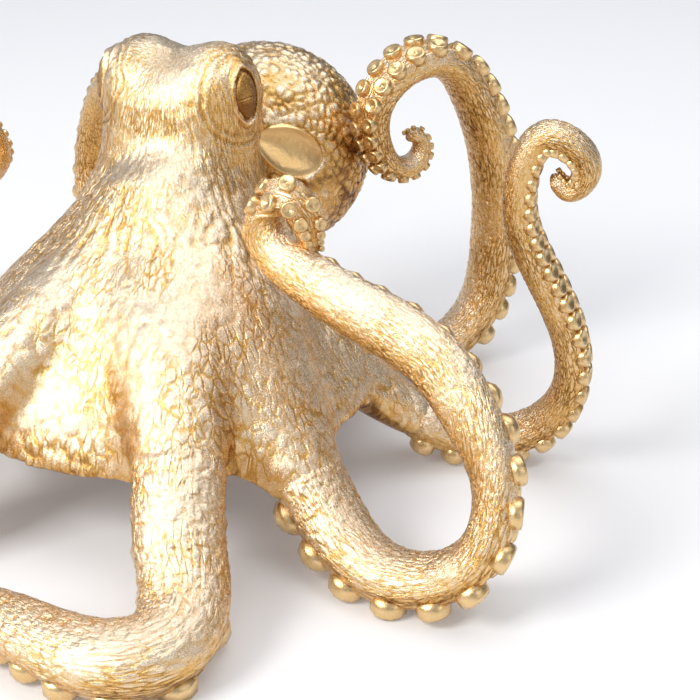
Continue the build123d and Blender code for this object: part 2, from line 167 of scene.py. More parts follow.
# Rows of an arm: out along its bearing, across to its left, lift and breadth, as shares of the
# arms' reach. A twist turns the suckers' face by so many degrees between two shares of the length.
arm_bearings = {
    "arm_left_1": 28,
    "arm_left_2": 57,
    "arm_left_3": 95,
    "arm_left_4": 137,
    "arm_right_1": -24,
    "arm_right_2": -62,
    "arm_right_3": -102,
    "arm_right_4": -145,
}
arm_twists = {
    "arm_left_2": [(0.54, 0.66, 75), (0.875, 0.935, 120)],
    "arm_left_4": [(0.45, 0.7, 8), (0.72, 0.82, -20)],
    "arm_right_1": [(0.5, 0.8, 20)],
    "arm_right_3": [(0.5, 0.8, -25)],
    "arm_right_4": [(0.45, 0.7, -25)],
}
arm_row_shares = {
    "arm_left_1": [
        (0.08, 0, 0.55, 0.17), (0.25, 0, 0.41, 0.215), (0.40, 0, 0.335, 0.21),
        (0.56, 0, 0.22, 0.195), (0.74, -0.015, 0.095, 0.185), (0.87, -0.02, 0.015, 0.18),
        (0.945, -0.065, 0, 0.175), (0.965, -0.155, 0, 0.165), (0.92, -0.25, 0, 0.15),
        (0.84, -0.34, 0, 0.13), (0.77, -0.43, 0, 0.105), (0.755, -0.52, 0.01, 0.082),
        (0.79, -0.58, 0.05, 0.06), (0.83, -0.56, 0.09, 0.044), (0.825, -0.515, 0.085, 0.03),
    ],
    "arm_left_2": [
        (0.08, 0, 0.55, 0.16), (0.21, 0, 0.455, 0.20), (0.34, 0, 0.355, 0.205),
        (0.435, -0.015, 0.27, 0.19), (0.535, -0.025, 0.17, 0.175),
        (0.67, -0.025, 0.055, 0.155), (0.83, -0.015, 0, 0.138), (0.94, 0.05, 0.015, 0.128),
        (1.0, 0.11, 0.095, 0.12), (0.98, 0.155, 0.195, 0.118), (0.915, 0.16, 0.31, 0.12),
        (0.81, 0.155, 0.40, 0.124), (0.685, 0.12, 0.455, 0.126), (0.57, 0.075, 0.49, 0.117),
        (0.46, 0.05, 0.52, 0.108), (0.385, 0.03, 0.57, 0.094), (0.38, 0.04, 0.64, 0.086),
        (0.425, 0.055, 0.67, 0.082), (0.45, 0.075, 0.64, 0.076), (0.455, 0.085, 0.605, 0.066),
        (0.46, 0.09, 0.575, 0.05), (0.47, 0.095, 0.55, 0.03),
    ],
    "arm_left_3": [
        (0.08, 0, 0.50, 0.15), (0.25, 0, 0.34, 0.185), (0.355, 0, 0.24, 0.17),
        (0.46, 0.01, 0.145, 0.15), (0.605, 0.045, 0.045, 0.125), (0.77, 0.08, 0, 0.11),
        (0.88, 0.085, 0.055, 0.105), (0.94, 0.065, 0.18, 0.10), (0.925, 0.045, 0.315, 0.096),
        (0.87, 0.03, 0.44, 0.094), (0.82, 0.01, 0.56, 0.09), (0.815, 0, 0.695, 0.086),
        (0.865, 0, 0.785, 0.082), (0.93, 0, 0.765, 0.077), (0.955, 0, 0.705, 0.07),
        (0.92, 0, 0.665, 0.058), (0.88, 0, 0.70, 0.04),
    ],
    "arm_left_4": [
        (0.08, 0, 0.50, 0.15), (0.29, 0, 0.31, 0.185), (0.395, 0, 0.205, 0.17),
        (0.50, 0, 0.11, 0.15), (0.62, 0, 0.04, 0.13), (0.735, 0, 0, 0.12),
        (0.835, 0, 0.065, 0.125), (0.885, 0, 0.24, 0.134), (0.875, 0, 0.465, 0.132),
        (0.815, 0, 0.65, 0.124), (0.715, 0, 0.765, 0.112), (0.61, 0, 0.75, 0.102),
        (0.545, 0, 0.67, 0.094), (0.555, 0, 0.57, 0.086), (0.61, 0, 0.51, 0.076),
        (0.665, 0, 0.53, 0.064), (0.665, 0, 0.58, 0.05), (0.63, 0, 0.58, 0.034),
    ],
    "arm_right_1": [
        (0.08, 0, 0.55, 0.17), (0.25, 0, 0.41, 0.215), (0.40, 0, 0.34, 0.205),
        (0.56, 0, 0.22, 0.185), (0.70, 0, 0.10, 0.17), (0.82, -0.01, 0.02, 0.155),
        (0.92, -0.05, 0, 0.14), (1.0, -0.13, 0.02, 0.125), (1.03, -0.23, 0.08, 0.11),
        (0.98, -0.31, 0.15, 0.095), (0.89, -0.33, 0.20, 0.08), (0.82, -0.29, 0.23, 0.066),
        (0.80, -0.22, 0.25, 0.052), (0.84, -0.18, 0.26, 0.04), (0.88, -0.20, 0.265, 0.028),
    ],
    "arm_right_2": [
        (0.08, 0, 0.52, 0.16), (0.25, 0, 0.36, 0.205), (0.36, 0, 0.27, 0.185),
        (0.47, -0.01, 0.17, 0.165), (0.60, -0.02, 0.07, 0.145), (0.74, -0.01, 0, 0.13),
        (0.87, 0.02, 0.02, 0.12), (0.96, 0.05, 0.11, 0.112), (0.98, 0.06, 0.24, 0.105),
        (0.93, 0.04, 0.36, 0.098), (0.86, 0, 0.46, 0.09), (0.82, -0.04, 0.57, 0.08),
        (0.84, -0.06, 0.68, 0.07), (0.90, -0.06, 0.75, 0.06), (0.97, -0.05, 0.74, 0.05),
        (1.0, -0.04, 0.68, 0.04), (0.96, -0.04, 0.64, 0.03), (0.92, -0.04, 0.67, 0.022),
    ],
    "arm_right_3": [
        (0.08, 0, 0.50, 0.15), (0.25, 0, 0.34, 0.195), (0.36, 0, 0.24, 0.18),
        (0.47, 0, 0.14, 0.16), (0.60, 0.02, 0.05, 0.14), (0.74, 0.05, 0, 0.125),
        (0.87, 0.06, 0.02, 0.12), (0.96, 0.03, 0.10, 0.115), (0.97, -0.03, 0.21, 0.11),
        (0.90, -0.08, 0.31, 0.105), (0.79, -0.10, 0.38, 0.10), (0.67, -0.09, 0.43, 0.09),
        (0.57, -0.06, 0.49, 0.075), (0.53, -0.03, 0.57, 0.062), (0.57, -0.01, 0.63, 0.05),
        (0.62, -0.01, 0.61, 0.04), (0.62, -0.01, 0.56, 0.03), (0.585, -0.01, 0.55, 0.022),
    ],
    "arm_right_4": [
        (0.08, 0, 0.50, 0.15), (0.29, 0, 0.31, 0.185), (0.395, 0, 0.205, 0.17),
        (0.51, 0, 0.11, 0.15), (0.635, 0.01, 0.035, 0.13), (0.76, 0.03, 0, 0.115),
        (0.86, 0.05, 0.05, 0.11), (0.93, 0.06, 0.17, 0.105), (0.94, 0.05, 0.32, 0.10),
        (0.88, 0.03, 0.46, 0.092), (0.78, 0.01, 0.55, 0.083), (0.67, -0.01, 0.56, 0.073),
        (0.60, -0.02, 0.49, 0.062), (0.61, -0.03, 0.41, 0.05), (0.67, -0.03, 0.37, 0.04),
        (0.715, -0.03, 0.41, 0.03), (0.69, -0.03, 0.45, 0.022),
    ],
}


def travelled(points):
    """Distance run from the first of the points to each, straight from one to the next."""
    return np.concatenate([[0], np.cumsum(np.linalg.norm(np.diff(points, axis=0), axis=1))])


def smooth_line(places, count):
    """Evenly spaced points on the natural cubic through the places, run by the chords' lengths."""
    knots = travelled(places)
    gaps = np.diff(knots)
    inner = np.arange(1, len(knots) - 1)
    system = np.eye(len(knots))
    system[inner, inner - 1] = gaps[:-1]
    system[inner, inner] = 2 * (gaps[:-1] + gaps[1:])
    system[inner, inner + 1] = gaps[1:]
    pulls = np.zeros_like(places)
    pulls[1:-1] = 6 * np.diff(np.diff(places, axis=0) / gaps[:, None], axis=0)
    bends = np.linalg.solve(system, pulls)
    fine = np.linspace(0, knots[-1], 12 * count)
    span = np.clip(np.searchsorted(knots, fine, side="right") - 1, 0, len(gaps) - 1)
    gap = gaps[span][:, None]
    near = (knots[span + 1] - fine)[:, None] / gap
    far = 1 - near
    points = near * places[span] + far * places[span + 1]
    points += ((near**3 - near) * bends[span] + (far**3 - far) * bends[span + 1]) * gap**2 / 6
    run = travelled(points)
    even = np.linspace(0, run[-1], count)
    return np.stack([np.interp(even, run, points[:, k]) for k in range(3)], axis=1)


def arm_line(name, count):
    """Centre line of an arm with its frames: places, tangents, across, back and breadth.

    Each frame is turned as little as can be from the one before, and then by the arm's twist.
    The back direction looks away from the suckers.
    """
    rows = np.array(arm_row_shares[name], float)
    bearing = np.radians(arm_bearings[name])
    outwards = np.array([np.sin(bearing), -np.cos(bearing), 0])
    leftwards = np.array([np.cos(bearing), np.sin(bearing), 0])
    foot = rows[np.argmin(rows[:, 2]), 3] * arm_reach
    rest = foot * arm_flatness / 2 + sucker_height + felt_thickness - ground_flat
    places = arm_reach * (rows[:, :1] * outwards + rows[:, 1:2] * leftwards)
    places[:, 2] = rest + arm_reach * rows[:, 2]
    points = smooth_line(places, count)
    chords = travelled(places)
    share = np.linspace(0, 1, count)
    breadth = np.interp(share, chords / chords[-1], rows[:, 3] * arm_reach)
    blur = max(3, count // 60) | 1
    padded = np.pad(breadth, blur // 2, mode="edge")
    breadth = np.convolve(padded, np.ones(blur) / blur, mode="valid")
    tangents = np.gradient(points, axis=0)
    tangents /= np.linalg.norm(tangents, axis=1)[:, None]
    across = np.zeros_like(points)
    side = leftwards
    for k, tangent in enumerate(tangents):
        side = side - tangent * (side @ tangent)
        side = side / np.linalg.norm(side)
        across[k] = side
    back = np.cross(tangents, across)
    twist = np.zeros((count, 1))
    for begin, end, degrees in arm_twists.get(name, []):
        along = np.clip((share - begin) / (end - begin), 0, 1)[:, None]
        twist = twist + np.radians(degrees) * along * along * (3 - 2 * along)
    turned = across * np.cos(twist) + back * np.sin(twist)
    return points + web_middle, tangents, turned, np.cross(tangents, turned), breadth


def smooth_union(first, second, blend):
    """The smaller of two distances, rounded over where they differ by less than the blend.

    There the two are mixed, less the blend times the share of the one times that of the other.
    """
    mix = np.clip(0.5 + 0.5 * (second - first) / blend, 0, 1)
    return second + (first - second) * mix - blend * mix * (1 - mix)


def ring_distance(points, rings):
    """Rough distance outside a stack of elliptic rings, whose sizes run smoothly with height.

    It is the way out from the ring at the point's own height, along the ray from the ring's
    middle, over the wall's length for each mm of height.
    """
    heights = np.linspace(rings[0, 0], rings[-1, 0], 240)
    sizes = [np.interp(heights, rings[:, 0], rings[:, k]) for k in (1, 2, 3)]
    kernel = np.hanning(27) / np.hanning(27).sum()
    sizes = [np.convolve(np.pad(size, 13, mode="edge"), kernel, "valid") for size in sizes]
    setback, wide, deep = (np.interp(points[..., 2], heights, size) for size in sizes)
    x, y = points[..., 0] / wide, (points[..., 1] - setback) / deep
    radial = np.sqrt(x * x + y * y) + 1e-6
    reach = wide * deep / np.sqrt((deep * x / radial) ** 2 + (wide * y / radial) ** 2)
    slope = np.gradient((sizes[1] + sizes[2]) / 2, heights)
    slope = np.interp(points[..., 2], heights, slope)
    return (radial - 1) * reach / np.sqrt(1 + slope * slope)


def limb_distance(points, line, first, last, swell):
    """Rough distance outside an oval tube along part of an arm's line, at its nearest place.

    It is the part beyond the tube of the way from that place. The swell widens both half axes.
    """
    centre, tangents, across, back, breadth = (part[first:last] for part in line)
    nearest = np.empty(len(points), int)
    at_once = 60000
    for start in range(0, len(points), at_once):
        chunk = points[start : start + at_once]
        squares = (chunk**2).sum(1)[:, None] - 2 * chunk @ centre.T + (centre**2).sum(1)
        nearest[start : start + at_once] = squares.argmin(1)
    away = points - centre[nearest]
    wide = breadth[nearest] / 2 + swell[nearest]
    thick = breadth[nearest] / 2 * arm_flatness + swell[nearest]
    x = (away * across[nearest]).sum(1) / wide
    y = (away * back[nearest]).sum(1) / thick
    z = (away * tangents[nearest]).sum(1) / thick
    radial = np.sqrt(x * x + y * y + z * z) + 1e-6
    return (radial - 1) * np.sqrt((x * wide) ** 2 + (y * thick) ** 2 + (z * thick) ** 2) / radial


def ball_distance(points, middle, radii):
    """Rough distance outside an ellipsoid: the part beyond it of the way from its middle."""
    scaled = (points - middle) / radii
    radial = np.sqrt((scaled**2).sum(-1)) + 1e-6
    return (radial - 1) * np.sqrt(((points - middle) ** 2).sum(-1)) / radial


def skin_through(field, corner, step):
    """Points and quads of the surface where a field on a grid is zero.

    Each cell that the surface crosses gets one point, the mean of the crossings on its edges,
    and each grid edge that it crosses gets one quad of the four cells round it.
    """
    solid = field < 0
    corners = [np.array(c) for c in np.ndindex(2, 2, 2)]
    shape = np.array(field.shape) - 1

    def part(array, c):
        return array[c[0] : c[0] + shape[0], c[1] : c[1] + shape[1], c[2] : c[2] + shape[2]]

    inside = sum(part(solid, c).astype(np.int8) for c in corners)
    cells = np.argwhere((inside > 0) & (inside < 8))
    number = np.full(shape, -1)
    number[tuple(cells.T)] = np.arange(len(cells))
    values = np.stack([field[tuple((cells + c).T)] for c in corners], axis=1)
    total = np.zeros((len(cells), 3))
    crossings = np.zeros(len(cells))
    for a in range(8):
        for b in range(a + 1, 8):
            if np.abs(corners[a] - corners[b]).sum() != 1:
                continue
            crossed = (values[:, a] < 0) != (values[:, b] < 0)
            share = values[:, a] / np.where(crossed, values[:, a] - values[:, b], 1)
            spot = corners[a] + share[:, None] * (corners[b] - corners[a])
            total += np.where(crossed[:, None], spot, 0)
            crossings += crossed
    points = corner + step * (cells + total / crossings[:, None])
    quads = []
    for axis in range(3):
        one, two = (axis + 1) % 3, (axis + 2) % 3
        ahead = np.roll(solid, -1, axis)
        changed = solid != ahead
        changed[tuple(slice(-1, None) if k == axis else slice(None) for k in range(3))] = False
        spots = np.argwhere(changed)
        spots = spots[(spots[:, one] > 0) & (spots[:, two] > 0)]
        spots = spots[(spots[:, one] < shape[one]) & (spots[:, two] < shape[two])]
        shift_one, shift_two = np.eye(3, dtype=int)[one], np.eye(3, dtype=int)[two]
        ring = [spots - shift_one - shift_two, spots - shift_two, spots, spots - shift_one]
        faces = np.stack([number[tuple(r.T)] for r in ring], axis=1)
        flip = ~solid[tuple(spots.T)]
        faces[flip] = faces[flip][:, ::-1]
        quads.append(faces)
    return points, np.concatenate(quads)


def scattered(cells, seed):
    """A steady random number in each of three directions for each whole-numbered cell."""
    keys = cells @ np.array([[127.1, 269.5, 113.5], [311.7, 183.3, 271.9], [74.7, 246.1, 124.6]])
    keys = np.sin(keys + seed) * 43758.5453
    return keys - np.floor(keys)


def pebbled(points, seed):
    """Nearest and second nearest distance to one scattered point in each unit cube."""
    base = np.floor(points)
    nearest = np.full(len(points), 9.0)
    second = np.full(len(points), 9.0)
    for corner in np.ndindex(3, 3, 3):
        cube = base + np.array(corner) - 1
        distance = np.linalg.norm(points - cube - scattered(cube, seed), axis=1)
        second = np.minimum(second, np.maximum(nearest, distance))
        nearest = np.minimum(nearest, distance)
    return nearest, second


def wavy(points, seed):
    """Soft noise from -1 to 1: the scattered numbers of a unit grid, blended between its corners."""
    base = np.floor(points)
    ease = points - base
    ease = ease * ease * (3 - 2 * ease)
    total = np.zeros(len(points))
    for corner in np.ndindex(2, 2, 2):
        weight = np.prod(np.where(np.array(corner), ease, 1 - ease), axis=1)
        total += weight * scattered(base + np.array(corner), seed)[:, 0]
    return 2 * total - 1


def split_in_four(points, quads):
    """Mesh in which each quad is split at its middle and at the middles of its sides."""
    sides = np.stack([quads, np.roll(quads, -1, axis=1)], axis=-1).reshape(-1, 2)
    sides.sort(axis=1)
    keys, first, place = np.unique(
        sides[:, 0] * len(points) + sides[:, 1], return_index=True, return_inverse=True
    )
    halves = points[sides[first]].mean(axis=1)
    half = place.reshape(-1, 4) + len(points)
    middle = (np.arange(len(quads)) + len(points) + len(halves))[:, None]
    parts = [
        np.concatenate([quads[:, [k]], half[:, [k]], middle, half[:, [k - 1]]], axis=1)
        for k in range(4)
    ]
    return np.concatenate([points, halves, points[quads].mean(axis=1)]), np.concatenate(parts)


def smoothed(points, quads, passes):
    """Points moved half way to the mean of their neighbours, as often as asked."""
    starts = quads.ravel()
    ends = np.roll(quads, -1, axis=1).ravel()
    count = np.bincount(starts, minlength=len(points)) + np.bincount(ends, minlength=len(points))
    for _ in range(passes):
        total = [
            np.bincount(starts, points[ends, k], len(points))
            + np.bincount(ends, points[starts, k], len(points))
            for k in range(3)
        ]
        points = 0.5 * points + 0.5 * np.stack(total, axis=1) / count[:, None]
    return points


def vertex_normals(points, quads):
    """Unit normals at the points: the mean of the crossed diagonals of the quads round each."""
    corners = [points[quads[:, k]] for k in range(4)]
    crossed = np.cross(corners[2] - corners[0], corners[3] - corners[1])
    normals = np.zeros_like(points)
    for k in range(4):
        for axis in range(3):
            normals[:, axis] += np.bincount(quads[:, k], crossed[:, axis], len(points))
    return normals / (np.linalg.norm(normals, axis=1)[:, None] + 1e-12)


def add_piece(name, points, quads, material, relief=None, flow=None):
    """Smooth-shaded mesh of points in mm, with its relief and its flow where the paint asks them.

    The relief is one on raised skin. Faces that look up are painted paler as painted light from
    above, and faces that look down darker as painted shade, so half of the stored value is how
    far the point's normal looks up.
    """
    mesh = bpy.data.meshes.new(name)
    mesh.vertices.add(len(points))
    mesh.vertices.foreach_set("co", (points / 1000).astype(np.float32).ravel())
    mesh.loops.add(quads.size)
    mesh.loops.foreach_set("vertex_index", quads.astype(np.int32).ravel())
    mesh.polygons.add(len(quads))
    mesh.polygons.foreach_set("loop_start", np.arange(0, quads.size, 4, dtype=np.int32))
    mesh.update(calc_edges=True)
    mesh.validate()
    mesh.polygons.foreach_set("use_smooth", np.ones(len(mesh.polygons), bool))
    if relief is not None:
        # Painted light and shade: the paint's tone rises as the normal turns up, pale on top, dark
        # below.
        painted_top_light = np.clip(0.22 + 0.95 * vertex_normals(points, quads)[:, 2], 0, 1)
        values = mesh.attributes.new("relief", "FLOAT", "POINT")
        values.data.foreach_set("value", (0.5 * relief + 0.5 * painted_top_light).astype(np.float32))
        values = mesh.attributes.new("flow", "FLOAT_VECTOR", "POINT")
        values.data.foreach_set("vector", flow.astype(np.float32).ravel())
    merged = bmesh.new()
    merged.from_mesh(mesh)
    bmesh.ops.remove_doubles(merged, verts=merged.verts, dist=1e-6)
    merged.to_mesh(mesh)
    merged.free()
    mesh.materials.append(material)
    piece = bpy.data.objects.new(name, mesh)
    bpy.context.collection.objects.link(piece)
    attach(piece, "root")
    return piece


def gold_paint(name, tones, roughness, grain, veined=False):
    """Metallic gold paint in three tones: the hollows', dark as painted shade, a middle one and that of
    raised parts, pale as painted light.

    The grain is fine noise, bumped, as sprayed metallic paint on cast resin has. Veined paint
    adds thin lines between long cells, which run the way that the skin's "flow" does and fade
    here and there. Its tone rises with the skin's "relief", from the lines inwards and in patches:
    painted shade darkens the lines and hollows, and painted light brightens raised and upward faces.
    """
    material = bpy.data.materials.new(name)
    material.use_nodes = True
    tree = material.node_tree
    shader = tree.nodes["Principled BSDF"]
    shader.inputs["Metallic"].default_value = 1.0
    shader.inputs["Coat Weight"].default_value = 0.4
    shader.inputs["Coat Roughness"].default_value = 0.22

    def weighed(value, weight, added):
        """A value times its weight, plus what is added."""
        values = {0: value, 1: weight, 2: added}
        return add_node(tree, "Math", values, operation="MULTIPLY_ADD").outputs[0]

    def noise(place, scale, detail, roughness=0.5):
        """Soft noise of so many lumps to a unit of the place."""
        values = {"Vector": place, "Scale": scale, "Detail": detail, "Roughness": roughness}
        return add_node(tree, "TexNoise", values)

    place = add_node(tree, "TexCoord").outputs["Object"]
    patches = noise(place, 120, 5, 0.6).outputs["Fac"]
    speckle = noise(place, 1000, 4, 0.75).outputs["Fac"]
    if veined:
        flow = add_node(tree, "Attribute", attribute_name="flow").outputs["Vector"]
        sway = {0: noise(flow, 0.8, 2).outputs["Color"], 1: (1.4, 1.4, 1.4), 2: flow}
        swayed = add_node(tree, "VectorMath", sway, operation="MULTIPLY_ADD").outputs[0]
        cells = {"Vector": swayed, "Scale": 1.0}
        net = add_node(tree, "TexVoronoi", cells, feature="DISTANCE_TO_EDGE").outputs["Distance"]
        fading = {"Value": noise(place, 30, 2).outputs["Fac"], "From Min": 0.4, "From Max": 0.6}
        faded = add_node(tree, "MapRange", {**fading, "To Min": 0.8, "To Max": 0.0}).outputs[0]
        edges = {"Value": net, "From Max": 0.2, "To Min": faded}
        lines = add_node(tree, "MapRange", edges, interpolation_type="SMOOTHSTEP").outputs[0]
        relief = add_node(tree, "Attribute", attribute_name="relief").outputs["Fac"]
        # Painted shade and light: the tone falls along the lines and in hollows, and rises on raised,
        # upward skin.
        tone = weighed(patches, 0.3, weighed(lines, 0.48, weighed(relief, 1.1, -0.56)))
        height = weighed(lines, 0.8, speckle)
    else:
        tone = weighed(patches, 0.3, 0.35)
        height = speckle
    ramp = add_node(tree, "ValToRGB", {"Fac": tone})
    ramp.color_ramp.elements[0].color = (*tones[0], 1)
    ramp.color_ramp.elements[1].color = (*tones[2], 1)
    ramp.color_ramp.elements.new(0.5).color = (*tones[1], 1)
    tree.links.new(ramp.outputs["Color"], shader.inputs["Base Color"])
    gloss = {"Value": speckle, "From Min": 0.3, "From Max": 0.7}
    gloss = add_node(tree, "MapRange", {**gloss, "To Min": roughness - 0.08, "To Max": roughness + 0.1})
    tree.links.new(gloss.outputs["Result"], shader.inputs["Roughness"])
    bump = add_node(tree, "Bump", {"Height": height, "Strength": grain, "Distance": 0.0005})
    tree.links.new(bump.outputs["Normal"], shader.inputs["Normal"])
    return material


# The hollows' tone is painted shade and the raised parts' tone is painted light.
skin_gold = gold_paint(
    "gold paint on wrinkled skin",
    tones=((0.24, 0.09, 0.01), (0.77, 0.45, 0.13), (0.95, 0.78, 0.57)),
    roughness=0.24,
    grain=0.75,
    veined=True,
)

# Places in mm that the head shares with the pieces on it: the mantle, measured from the web's
# middle, and the dish, whose axes are its long one, its short one and the way it looks.
mantle_middle, mantle_radius = np.array([18.0, 104, 142]), 62.0
mantle_axis = np.array([0, np.cos(np.radians(20)), np.sin(np.radians(20))])
mantle_pebble = 5.6
eye_across, eye_setback, eye_height = 42.0, 22.5, 203.0
dish_long, dish_short, dish_above, dish_proud = 18.0, 12.6, 18.0, 2.0
dish_bearing, dish_rise, dish_lean = np.radians(38), np.radians(12), np.radians(-28)
upwards = np.array([0, 0, 1.0])
dish_outwards = np.array([np.sin(dish_bearing), -np.cos(dish_bearing), 0])
dish_looks = np.cos(dish_rise) * dish_outwards + np.sin(dish_rise) * upwards
dish_level = np.array([-np.cos(dish_bearing), -np.sin(dish_bearing), 0])
dish_upright = np.cross(dish_looks, dish_level)
dish_axes = (
    dish_level * np.cos(dish_lean) + dish_upright * np.sin(dish_lean),
    dish_upright * np.cos(dish_lean) - dish_level * np.sin(dish_lean),
    dish_looks,
)
dish_middle = web_middle + mantle_middle + dish_above * upwards + dish_proud * dish_looks
dish_middle = dish_middle + np.sqrt(mantle_radius**2 - dish_above**2) * dish_outwards


def pressed_under_dish(points):
    """The points pressed inwards until they lie 9.5 mm below the dish's middle, less at its rim."""
    u, v, w = ((points - dish_middle) @ axis for axis in dish_axes)
    share = np.sqrt((u / dish_long) ** 2 + (v / dish_short) ** 2) + 1e-6
    share = share / (1 + 0.25 * np.clip(u / dish_long / share, 0, 1) ** 4)
    press = np.clip((1.1 - share) / 0.25, 0, 1) * np.clip(w + 9.5, 0, None) * (w < 16)
    return points - press[:, None] * dish_axes[2]


def joint_row(centre):
    """The first row of an arm's line that lies past the glued joint."""
    return int(np.argmax(np.linalg.norm((centre - web_middle)[:, :2], axis=1) > joint_reach))


# The body is the zero surface of a field of rough distances in mm, on a grid round it: the
# rings less the hollow in them, cut off at the hem and the crown.
grid_step, grid_size = 2.9, np.array([316, 300, 226])
low_corner = np.array([-158.0, -152.0, 8.0]) + web_middle
cavity_blend, wall_blend, hem_blend, crown_blend = 4.0, 3.0, 4.0, 8.0
grid_shape = np.ceil(grid_size / grid_step).astype(int)
axes = [low_corner[k] + grid_step * np.arange(grid_shape[k]) for k in range(3)]
grid = np.stack(np.meshgrid(*axes, indexing="ij"), axis=-1).astype(np.float32)
local = grid - web_middle.astype(np.float32)
outside = ring_distance(local, body_rings)
filled = smooth_union(-outside - web_wall, cavity_top - local[..., 2], cavity_blend)
body = -smooth_union(-outside, -filled, wall_blend)
body = -smooth_union(-body, local[..., 2] - hem_height, hem_blend)
body = -smooth_union(-body, crown_height - local[..., 2], crown_blend)

# The arms' roots run out of the web and shrink into the arms' own skins past the joints. The
# fillets of the two front arms on the left are the broad ones.
line_rows, rows_past_joint, window_margin = 500, 14, 22
usual_fillet, root_fillets = 11.0, {"arm_left_1": 24.0, "arm_left_2": 24.0}
for name in arm_bearings:
    line = arm_line(name, line_rows)
    joint = joint_row(line[0])
    last = joint + rows_past_joint
    centre, margin = line[0][:last], line[4][:last].max() / 2 + window_margin
    ends = np.stack([centre.min(0) - margin, centre.max(0) + margin])
    ends = np.clip(((ends - low_corner) / grid_step).astype(int), 0, grid_shape)
    window = tuple(slice(low, high) for low, high in ends.T)
    spots = grid[window].reshape(-1, 3)
    swell = np.interp(np.arange(last), [0, joint - 4, joint + 4, last], [0, 0, -2.5, -8])
    limb = limb_distance(spots, line, 0, last, swell).reshape(body[window].shape)
    body[window] = smooth_union(body[window], limb, root_fillets.get(name, usual_fillet))

# The two bumps that carry the eyes, and the collar: a short cone that opens towards the mantle
bump_radii, bump_blend = np.array([21, 24, 22]), 8.0
for side in (-1, 1):
    bump_middle = np.array([side * 22.0, 32, 204.5], np.float32)
    body = smooth_union(body, ball_distance(local, bump_middle, bump_radii), bump_blend)
collar_setback, collar_radius, collar_flare, collar_blend = 25, 56.4, np.radians(24), 10.0
collar_middle, half_collar = -9, 11
collar_normal = mantle_axis.astype(np.float32)
away = local - (mantle_middle - collar_setback * collar_normal).astype(np.float32)
along = away @ collar_normal
off_axis = np.sqrt(np.maximum((away**2).sum(-1) - along**2, 0))
collar = (off_axis - collar_radius - along * np.tan(collar_flare)) * np.cos(collar_flare)
collar = np.maximum(collar, np.abs(along - collar_middle) - half_collar)
body = smooth_union(body, collar, collar_blend)


def raised_cells(points, edge, seed):
    """Zero on the edges between scattered cells, rising to one inside them.

    The nearest distance taken from the second nearest, over the edge's width, but one at most.
    """
    nearest, second = pebbled(points, seed)
    return np.clip((second - nearest) / edge, 0, 1)


def swaying(points, size, seeds):
    """Three soft noises, one for each direction, in lumps of a size."""
    return np.stack([wavy(points / size, seed) for seed in seeds], axis=1)


def head_skin(points, lining):
    """Lifts in mm, relief and flow of the skin of the head and the web.

    The flow runs down and out from the head, so that cells scattered in it make long wrinkles.
    Where the skin meets the mantle, it has the mantle's pebbles instead. Folds run down the neck
    and in rings round the eyes: each is a cosine raised to a power. The lining stays plain.
    """
    local = points - web_middle
    sway = swaying(points, 9, (3.1, 5.7, 8.3))
    plan = local - np.array([0, 24.0, 0])
    radius = np.linalg.norm(plan[:, :2], axis=1) + 1
    bearing = np.arctan2(plan[:, 0], -plan[:, 1])
    spread = 22 * (radius / 45) ** 0.3
    flow = np.stack(
        [spread * np.sin(bearing), -spread * np.cos(bearing), (radius - plan[:, 2]) / 14], axis=1
    )
    wrinkle = raised_cells(flow * np.array([0.6, 0.6, 0.9]) + 0.25 * sway, 0.35, 1.7)
    wrinkle = wrinkle * (2 - wrinkle)
    sac = np.clip((74 - np.linalg.norm(local - mantle_middle, axis=1)) / 6, 0, 1)
    sac = sac * (points[:, 2] > 90)
    pebble = raised_cells((points + 1.2 * sway) / mantle_pebble, 0.55, 4.4)
    wrinkle = wrinkle + sac * (pebble - wrinkle)
    flow = np.where(sac[:, None] > 0.5, points / 30, flow)
    folds_round, neck_height, neck_spread = 58, 142, 32
    folds = bearing * folds_round / (2 * np.pi) + 0.8 * wavy(points / np.array([13, 13, 26]), 6.6)
    folds = 1 - np.abs(np.cos(np.pi * folds)) ** 5
    neck = np.exp(-(((points[:, 2] - neck_height) / neck_spread) ** 2))
    neck = neck * np.clip(0.6 + wavy(points / 30, 9.1), 0.25, 1)
    ring_radius, ring_spread = 25, 7
    for side in (-1, 1):
        far = np.linalg.norm(local - np.array([eye_across * side, eye_setback, eye_height]), axis=1)
        ripple = np.exp(-(((far - ring_radius) / ring_spread) ** 2))
        ring = 1 - np.abs(np.cos(0.75 * far + 2 * sway[:, 0])) ** 4
        folds = folds * (1 - ripple) + ripple * ring
        neck = np.maximum(neck, 0.9 * ripple)
    groove = neck * (1 - sac) * (1 - folds)
    # The relief sets the paint's tone: lowered in the folds' grooves as painted shade, and held low on
    # the lining, so the inside of the web is darker.
    relief = np.where(lining, 0.35, (0.55 + 0.45 * wrinkle) * (1 - 0.95 * groove))
    lifts = 0.42 * (wrinkle - 0.7) + 0.5 * wavy(points / 6, 2.2) + 0.15 * wavy(points / 3.5, 7.2)
    lifts = lifts - 1.2 * groove + 0.8 * sac * (wrinkle - 0.75)
    return np.where(lining, 0, lifts), relief, flow


points, quads = skin_through(body, low_corner, grid_step)
points, quads = split_in_four(points, quads)
points = smoothed(points, quads, 2)
depth = ring_distance(points - web_middle, body_rings)
lining = (depth < -web_wall / 2) & (points[:, 2] < cavity_top + 3)
lifts, relief, flow = head_skin(points, lining)
points = pressed_under_dish(points + vertex_normals(points, quads) * lifts[:, None])
face_lining = lining[quads].sum(1) > 2
for name, chosen in (("head_and_web_skin", quads[~face_lining]), ("web_lining", quads[face_lining])):
    used, renumbered = np.unique(chosen, return_inverse=True)
    renumbered = renumbered.reshape(-1, 4)
    piece = add_piece(name, points[used], renumbered, skin_gold, relief[used], flow[used])
    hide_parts("head_and_web")

# Eyes: cast on the two bumps of the head. Each is a tall oval ball in a ring of skin that runs
# to a point above and below, with two creases outside it and a thin slit across the ball.
# Its height is half an ellipse and a bell for each ring or groove, less what bends it round.
eye_tall, eye_wide = 24.0, 15.0
eye_bearing, eye_rise = np.radians(68), np.radians(8)


